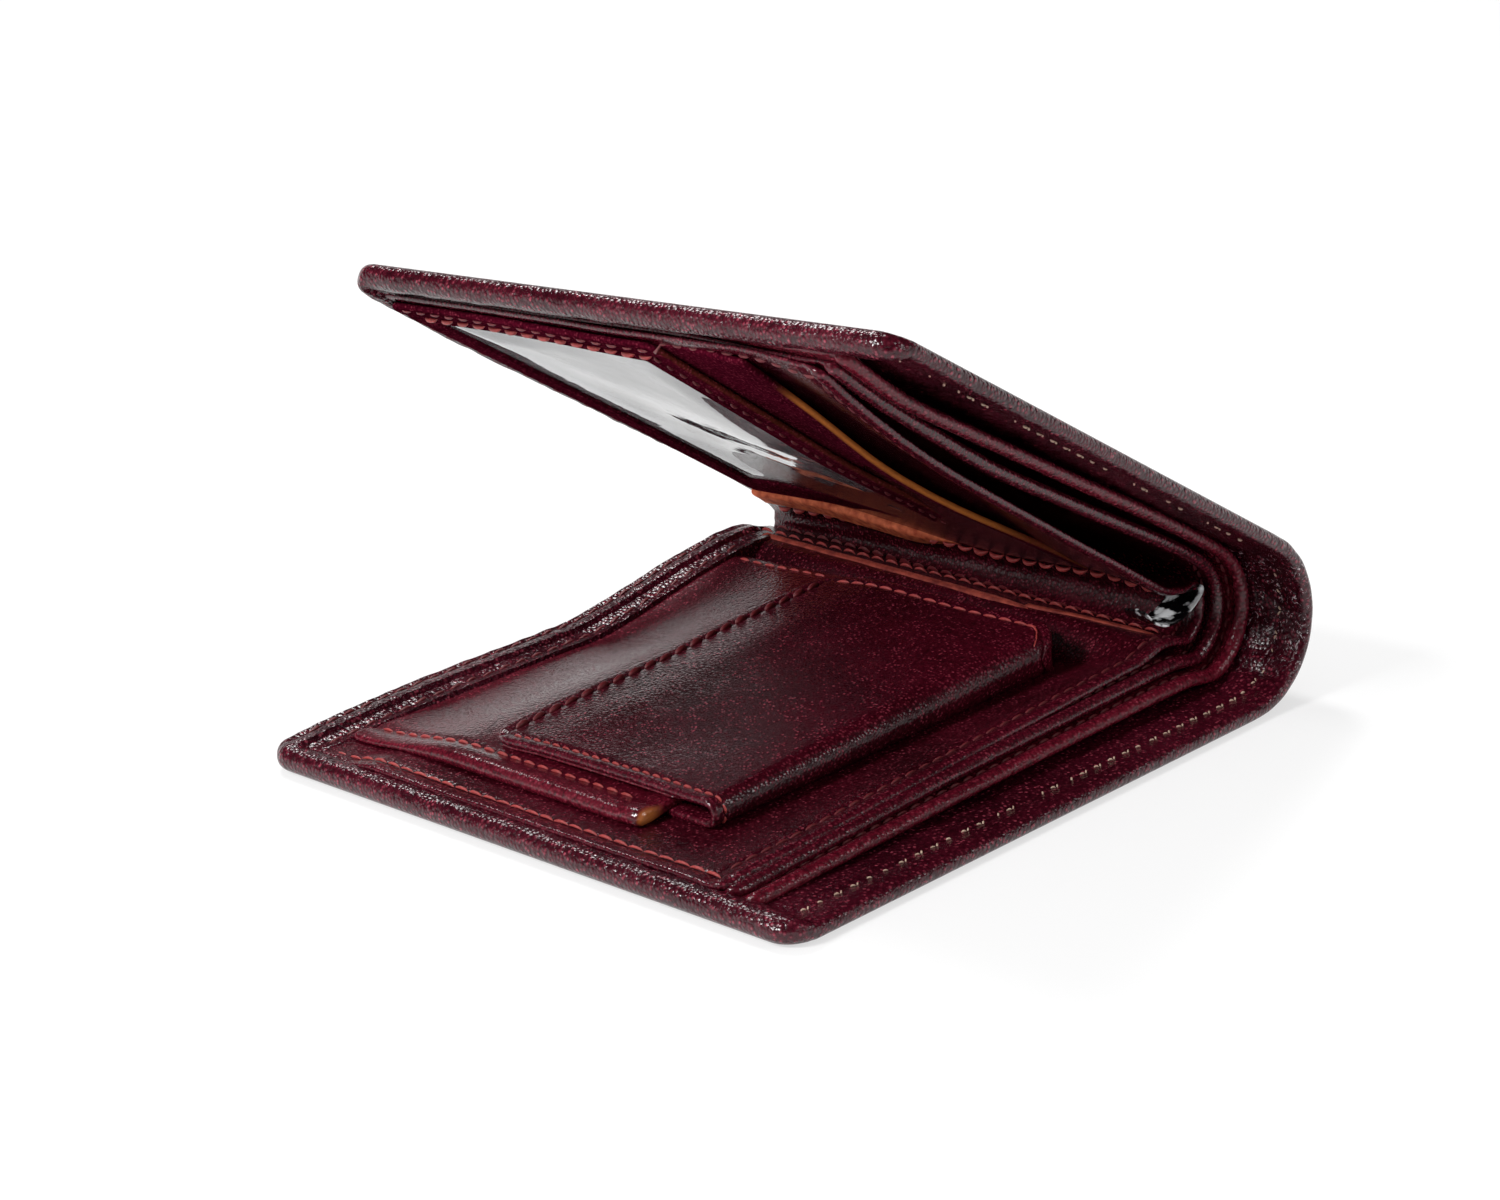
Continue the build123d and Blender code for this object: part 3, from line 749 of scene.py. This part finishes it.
lining = sheet("flap_lining_leather", FLAP_LINING, 4.6,
               lambda x, y: min(flap_floor(x) + 0.15, flap_face(x, y) - 1.6),
               lambda x, y: flap_face(x, y) - 1.2, 1.6, glow=2.0)
hold(fold_up(lining, piping, ("coin_flap_lining", "coin_flap_rim")), "coin_flap")


# Card side -----------------------------------------------------------------------------------

def middle_raw(x, y):
    """Undyed cut edge of the middle card panel, most of it hidden by dye towards the fold."""
    s = side(x)
    return smooth(29.5, 29.1, y) * smooth(13, 20, s) * (1 - 0.75 * smooth(58, 74, s))


def frame_grooved(x, y):
    sewn = frame_top(x, y) - 0.22 * dip(side(x), FRAME_OUTER_SEAM, 0.4)
    return sewn - 0.2 * dip(y, FRAME_BILL_SEAM, 0.4)


def film_face(x, y):
    """Clear film: held flat all round, in slow waves further in, and in tighter ones
    towards the fold."""
    waves = 0.3 + ripple(x, y * 1.3, 24, 0.5, 2.0)
    waves += ripple(x, y, 10, 0.1 + 0.3 * smooth(34, 4, x - WINDOW[0]), 6.0)
    return frame_top(x, y) - 0.6 + waves * smooth(0, 7, depth_in(x, y, WINDOW, 2))


middle = sheet("card_panel_raw_edge", MIDDLE_CARD, 1.0, lambda x, y: middle_top(x, y) - 0.95,
               middle_top, 1.1, glow=0.5, raw=middle_raw)
hold(fold_up(middle, card_calf, ("card_panel_middle",)), "upper_half")

window_frame = sheet("id_frame_leather", FRAME, 2.5, lambda x, y: frame_top(x, y) - 0.9,
                     frame_grooved, 1.0, (SOFT, BEAD, SOFT, SOFT), 0.8,
                     raw=lambda x, y: 0.1 * smooth(44.4, 44.1, y), hole=WINDOW)
hold(fold_up(window_frame, card_calf, ("id_window_frame",)), "upper_half")

FILM_LAP = 1.8      # how far the film runs on under the frame
film = sheet("id_film_vinyl", (WINDOW[0] - FILM_LAP, WINDOW[1] + FILM_LAP,
                               WINDOW[2] - FILM_LAP, WINDOW[3] + FILM_LAP),
             1.5, lambda x, y: frame_top(x, y) - 0.8, film_face, 0.9)
hold(fold_up(film, clear_film, ("id_window_film",)), "upper_half")


# Seams along the fold ------------------------------------------------------------------------

def strip(name, route, width, height, material, zone):
    """Narrow strip of cut leather along a route of two flat points, on the innermost sheet.
    It grows from a thin end to its full width and height over a quarter of its length."""
    (x0, y0), (x1, y1) = route
    piece = sheet(name, (0, width, y0, y1), 0.3, lambda x, y: 0.0, lambda x, y: height, 0.8)
    for v in piece.data.vertices:
        t = (v.co.y - y0) / (y1 - y0)
        taper = smooth(0.0, 0.25, t)
        v.co.x = mix(x0, x1, t) + (v.co.x - width / 2) * (0.25 + 0.75 * taper)
        v.co.x += ripple(0, v.co.y, 9, 0.5, 4.0)
        v.co.z = inner_top(v.co.x, v.co.y) - 0.5 + v.co.z * (0.3 + 0.7 * taper)
    return hold(fold_up(piece, material), zone)


strip("fold_strip_rust", [(91.0, 32.0), (93.6, 94.0)], 1.5, 0.8, rust_edge, "lower_bend")
strip("fold_strip_pink", [(94.0, 15.5), (91.8, 40.0)], 1.2, 0.8, rust_edge, "lower_bend")
strip("fold_strip_tan", [(LOWER + 14.6, 56.0), (LOWER + 17.0, 97.0)], 4.0, 1.6, tan_edge,
      "upper_bend")


# Sewing --------------------------------------------------------------------------------------

def stitches(name, route, top, material, zone, pitch=2.9, length=2.7, radius=0.24, slant=0.0,
             missing=0.0, arch=0.0, carry=None):
    """Row of stitches along a route of flat points, on the surface top(x, y). missing is the
    share that has worn away, and arch is how far each stitch stands off in its middle. Both
    its ends sink into their holes."""
    deselect()
    bpy.ops.mesh.primitive_uv_sphere_add(segments=8, ring_count=6, radius=1.0)
    row = bpy.context.object
    row.name = name
    bpy.ops.object.mode_set(mode="EDIT")
    bpy.ops.transform.resize(value=(length / 2, radius, radius))
    bpy.ops.object.mode_set(mode="OBJECT")
    shape = [v.co.copy() for v in row.data.vertices]
    faces = [list(f.vertices) for f in row.data.polygons]
    points, sides = [], []
    for a, b in zip(route, route[1:]):
        a, b = Vector(a), Vector(b)
        run = b - a
        count = max(1, round(run.length / pitch))
        for i in range(count):
            if random.random() < missing:
                continue
            spot = a + run * (i + 0.5) / count
            turn = math.atan2(run.y, run.x) + slant + random.uniform(-0.06, 0.06)
            swell = random.uniform(0.85, 1.15)
            first = len(points)
            for p in shape:
                q = Matrix.Rotation(turn, 3, "Z") @ Vector((p.x, p.y * swell, p.z * swell))
                x, y = spot.x + q.x, spot.y + q.y
                lift = arch * (1 - (2 * p.x / length) ** 2) - 0.25 * abs(2 * p.x / length) ** 3
                spot_up = Vector((x, y, top(x, y) + radius * 0.7 + q.z + lift))
                points.append(carry(spot_up) if carry else spot_up)
            sides += [[first + k for k in f] for f in faces]
    row.data.clear_geometry()
    row.data.from_pydata(points, [], sides)
    return hold(fold_up(row, material), zone)


def raised(surface, by):
    """The same surface, higher by so many mm, or lower where by is negative."""
    return lambda x, y: surface(x, y) + by


def upper_panel(x, y):
    return max(inner_top(x, y), frame_top(x, y) if y > FRAME[2] else 0.0) - 0.1


for half, start, end, missing in (("lower", 5.5, LOWER - 0.5, 0.1),
                                  ("upper", LOWER + 0.5, WIDTH - 5.5, 0.4)):
    zone = half + "_bend"
    for letter, shift, tilt in (("a", 0.4, 0.7), ("b", -0.4, -0.5)):
        stitches(f"bill_edge_stitches_{half}_{letter}",
                 [(start + shift, BILL_SEAM), (end + shift, BILL_SEAM)], cover_top, pale_thread,
                 zone, 3.0, 0.85, 0.13, tilt, missing)
    inset = (max(start, 6), min(end, WIDTH - 8))
    stitches(f"divider_stitches_{half}", [(x, DIVIDER_SEAM) for x in inset],
             raised(divider_top, -0.2), dark_thread, zone, 2.6, 2.3, 0.2)
    stitches(f"base_stitches_{half}", [(x, BASE_SEAM) for x in inset],
             raised(base_top, -0.2), dark_thread, zone, 2.6, 2.3, 0.2)
    stitches(f"panel_bill_stitches_{half}", [(start + 1, INNER_SEAM), (end - 3, INNER_SEAM)],
             raised(inner_top, -0.2), dark_thread, zone, 2.7, 2.4, 0.2)
stitches("outer_stitches_lower", [(OUTER_SEAM, 16), (OUTER_SEAM, 90.5)], lower_panel, red_thread,
         "lower_half", 2.8, 2.7, 0.2)
stitches("outer_stitches_upper", [(WIDTH - 6.6, 95), (WIDTH - 6.6, 16)], upper_panel, dark_thread,
         "upper_half", 2.9, 2.2, 0.22)

on_border = raised(cover_top, -0.12)
for on_upper, on_lower, name in ((RIM_SEAM, RIM_SEAM, "outer"),
                                 (UPPER_BORDER_SEAM, LOWER_BORDER_SEAM, "inner")):
    stitches(f"bottom_stitches_lower_{name}",
             [(5, HEIGHT - on_lower), (LOWER - 23, HEIGHT - on_lower)],
             on_border, dark_thread, "lower_half", 3.2, 2.8, 0.3, 0.1)
    stitches(f"bottom_stitches_upper_{name}",
             [(LOWER + 13, HEIGHT - on_upper), (WIDTH - 5, HEIGHT - on_upper)],
             on_border, dark_thread, "upper_half", 3.2, 2.8, 0.26, 0.1)
stitches("pocket_outer_stitches", [(POCKET_SEAM, 90.5), (POCKET_SEAM, 40)],
         raised(pocket_top, -0.2), red_thread, "lower_half", 2.6, 2.3, 0.2)

on_flap = raised(flap_face, -0.2)
stitches("flap_tip_stitches", [(17, FLAP_TIP_SEAM), (78, FLAP_TIP_SEAM)], on_flap, dark_thread,
         "coin_flap", 3.1, 2.9, 0.42, 0.2)
stitches("flap_outer_stitches",
         [(FLAP_OUTER_SEAM, 66), (FLAP_OUTER_SEAM, HINGE), (FLAP_OUTER_SEAM, 22.5)],
         on_flap, red_thread, "flap_bend", 1.9, 1.6, 0.17, carry=over_hinge)
# the seam turns the flap's spine corner at the hinge, on a radius of 4.6 mm
corner_turn = [(75.2 + 4.6 * math.cos(a), 29.5 - 4.6 * math.sin(a))
               for a in (math.radians(18 * i) for i in range(5))]
stitches("flap_spine_stitches", [(FLAP_SPINE_SEAM, 66)] + corner_turn, on_flap, red_thread,
         "flap_bend", 2.9, 2.5, 0.19, 0.06, carry=over_hinge)
stitches("pocket_spine_stitches", [(84.3, 90.5), (84.0, 72)], raised(pocket_top, -0.1),
         red_thread, "lower_half", 2.6, 2.3, 0.22)
stitches("window_outer_stitches",
         [(WIDTH - FRAME_OUTER_SEAM, 93), (WIDTH - FRAME_OUTER_SEAM, FRAME_BILL_SEAM)],
         raised(frame_top, -0.2), red_thread, "upper_half", 3.3, 2.9, 0.36, 0.12)
stitches("window_bill_stitches", [(WIDTH - 8.8, FRAME_BILL_SEAM), (LOWER + 22, FRAME_BILL_SEAM)],
         raised(frame_top, -0.15), dark_thread, "upper_half", 2.7, 1.7, 0.2)
for x0, x1, tint, name in ((94.6, 94.9, red_thread, "a"), (97.0, 98.4, dark_thread, "b")):
    stitches(f"fold_stitches_{name}", [(x0, 18), (x1, 96)], raised(inner_top, 0.2), tint,
             "lower_bend", 2.9, 2.5, arch=0.15)
stitches("card_seam_stitches", [(LOWER + 17.5, 18), (LOWER + 13.2, 96)], raised(inner_top, 0.1),
         red_thread, "upper_bend", 3.3, 3.0, 0.36, arch=0.3)


# Film that lines the fold: its loose end curls up at the bill edge ---------------------------

# Section of the curl, as x and height, about its lowest point. It gets smaller inwards.
CURL = [(85.5, 15.2), (86.8, 13.6), (88.4, 12.3), (90.4, 11.7), (92.8, 11.8), (95.2, 12.4),
        (97.3, 13.2), (98.8, 14.3), (98.9, 15.2), (98.0, 15.6)]
CURL_X, CURL_FLOOR = 92, 11.7
CURL_START, CURL_LENGTH = 13.4, 5
FILM_GAUGE = 0.3
deselect()
bpy.ops.mesh.primitive_grid_add(x_subdivisions=len(CURL) - 1, y_subdivisions=10, size=2)
film_curl = bpy.context.object
film_curl.name = "fold_film_curl"
for v in film_curl.data.vertices:
    i, t = round((v.co.x + 1) / 2 * (len(CURL) - 1)), (v.co.y + 1) / 2
    fade = 1 - 0.25 * t
    x = CURL_X + (CURL[i][0] - CURL_X) * fade
    z = CURL_FLOOR + (CURL[i][1] - CURL_FLOOR) * fade + ripple(i, 12 * t, 3, 0.5)
    v.co = Vector((x, CURL_START + CURL_LENGTH * t, z))
    v.co = flat_origin + v.co * MM
for kind, values in (("SUBSURF", {"levels": 2, "render_levels": 2}),
                     ("SOLIDIFY", {"thickness": FILM_GAUGE * MM, "offset": 0.0})):
    change = film_curl.modifiers.new(kind, kind)
    for key, value in values.items():
        setattr(change, key, value)
    choose(film_curl)
    bpy.ops.object.modifier_apply(modifier=change.name)
bpy.ops.object.shade_smooth_by_angle(angle=math.radians(40))
film_curl.data.materials.append(black_film)
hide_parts("spine_fold_film")
hold(film_curl, "lower_bend")


# Metal of the press stud: the CAD parts, finished --------------------------------------------

for name in ("snap_stud", "snap_rivet", "snap_socket"):
    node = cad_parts[name]
    node.data.materials.clear()
    node.data.materials.append(nickel)


# Floor, light and camera ---------------------------------------------------------------------

def seen_directly(owner):
    """1 for what the camera sees straight, and 1 for what it sees straight, in a reflection or
    through clear film."""
    rays = add_node(owner, "ShaderNodeLightPath").outputs
    seen = add_node(owner, "ShaderNodeMath", {"operation": "MAXIMUM"},
                    links={0: rays["Is Camera Ray"], 1: rays["Is Glossy Ray"]}).outputs[0]
    seen = add_node(owner, "ShaderNodeMath", {"operation": "MAXIMUM"},
                    links={0: seen, 1: rays["Is Transmission Ray"]}).outputs[0]
    return rays["Is Camera Ray"], seen


# Matt white paper. Where it is seen, OWN_WHITE of it is plain white and the rest takes light and
# shadow.
OWN_WHITE = 0.62
deselect()
bpy.ops.mesh.primitive_plane_add(size=6, location=(0, 0, -0.0002))
floor = bpy.context.object
floor.name = "floor"
paper = new_material("matt_white_paper_floor")
_, seen = seen_directly(paper)
share = add_node(paper, "ShaderNodeMath", {"operation": "MULTIPLY"}, {1: OWN_WHITE}, {0: seen}).outputs[0]
matt = add_node(paper, "ShaderNodeBsdfDiffuse", inputs={"Color": colour("#f4f4f4")}).outputs[0]
lit = add_node(paper, "ShaderNodeEmission", inputs={"Color": (1, 1, 1, 1), "Strength": 1.0}).outputs[0]
both = add_node(paper, "ShaderNodeMixShader", links={0: share, 1: matt, 2: lit}).outputs[0]
add_node(paper, "ShaderNodeOutputMaterial", links={"Surface": both})
floor.data.materials.append(paper)

# The room is white to the camera. A shiny face sees it white near the horizon and dark above
# DARK_FROM, which keeps the leather deep, and dimmer in front of the wallet than behind it.
WHITE_TO, DARK_FROM = math.radians(8), math.radians(15)
DARK_CEILING = 0.012
FRONT_LEVEL = 0.25
DIFFUSE_LEVEL = 0.42
world = bpy.data.worlds.new("studio")
bpy.context.scene.world = world
world.use_nodes = True
back = world.node_tree.nodes["Background"]
back.inputs["Color"].default_value = (1, 1, 1, 1)
to_camera, seen = seen_directly(world)
way = add_node(world, "ShaderNodeTexCoord").outputs["Generated"]
ways = add_node(world, "ShaderNodeSeparateXYZ", links={0: way}).outputs
beyond = add_node(world, "ShaderNodeMath", {"operation": "ADD"}, links={0: ways[0], 1: ways[1]}).outputs[0]
room = add_node(world, "ShaderNodeMapRange", {"interpolation_type": "SMOOTHSTEP"},
                {"From Min": -0.5, "From Max": 0.3, "To Min": FRONT_LEVEL, "To Max": 1.0},
                {"Value": beyond}).outputs[0]
ceiling = add_node(world, "ShaderNodeMapRange", {"interpolation_type": "SMOOTHSTEP"},
                   {"From Min": math.sin(WHITE_TO), "From Max": math.sin(DARK_FROM),
                    "To Min": 1.0, "To Max": DARK_CEILING}, {"Value": ways[2]}).outputs[0]
ceiling = add_node(world, "ShaderNodeMath", {"operation": "MULTIPLY"},
                   links={0: ceiling, 1: room}).outputs[0]
backdrop = add_node(world, "ShaderNodeMath", {"operation": "MAXIMUM"},
                    links={0: to_camera, 1: ceiling}).outputs[0]
level = add_node(world, "ShaderNodeMix", inputs={2: DIFFUSE_LEVEL},
                 links={0: seen, 3: backdrop}).outputs[0]
world.node_tree.links.new(level, back.inputs["Strength"])


def softbox(name, place, size, power):
    """Square lamp, aimed at the wallet. Its place and size are in metres, its power in watts."""
    bpy.ops.object.light_add(type="AREA", location=place)
    lamp = bpy.context.object
    lamp.name = name
    lamp.data.shape = "SQUARE"
    lamp.data.size = size
    lamp.data.energy = power
    lamp.rotation_euler = (-Vector(place)).to_track_quat("-Z", "Y").to_euler()


softbox("key_left", (-0.75, 0.15, 0.6), 0.22, 8)
softbox("back", (0.25, 0.6, 0.95), 0.3, 7)
softbox("fill_front", (0.3, -0.85, 0.55), 0.3, 2)

# The camera looks down across the wallet from beyond the lower half's outer bill corner. EYE is
# in mm from flat_origin.
AZIMUTH, ELEVATION, ROLL = math.radians(44.86), math.radians(19.17), math.radians(-3.46)
EYE = Vector((-265.05, -262.42, 174.42))
SENSOR, FOCAL_LENGTH = 36.0, 82.368
view = Vector((math.sin(AZIMUTH) * math.cos(ELEVATION), math.cos(AZIMUTH) * math.cos(ELEVATION),
               -math.sin(ELEVATION)))
right = view.cross(Vector((0, 0, 1))).normalized()
up = right.cross(view)
turned_right = right * math.cos(ROLL) + up * math.sin(ROLL)
turned_up = up * math.cos(ROLL) - right * math.sin(ROLL)
bpy.ops.object.camera_add(location=flat_origin + EYE * MM)
camera = bpy.context.object
camera.rotation_euler = Matrix((turned_right, turned_up, -view)).transposed().to_euler()
camera.data.sensor_width = SENSOR
camera.data.lens = FOCAL_LENGTH
camera.data.clip_start = 0.01
camera.data.clip_end = 20
bpy.context.scene.camera = camera
bpy.context.scene.view_settings.view_transform = "Standard"

deselect()
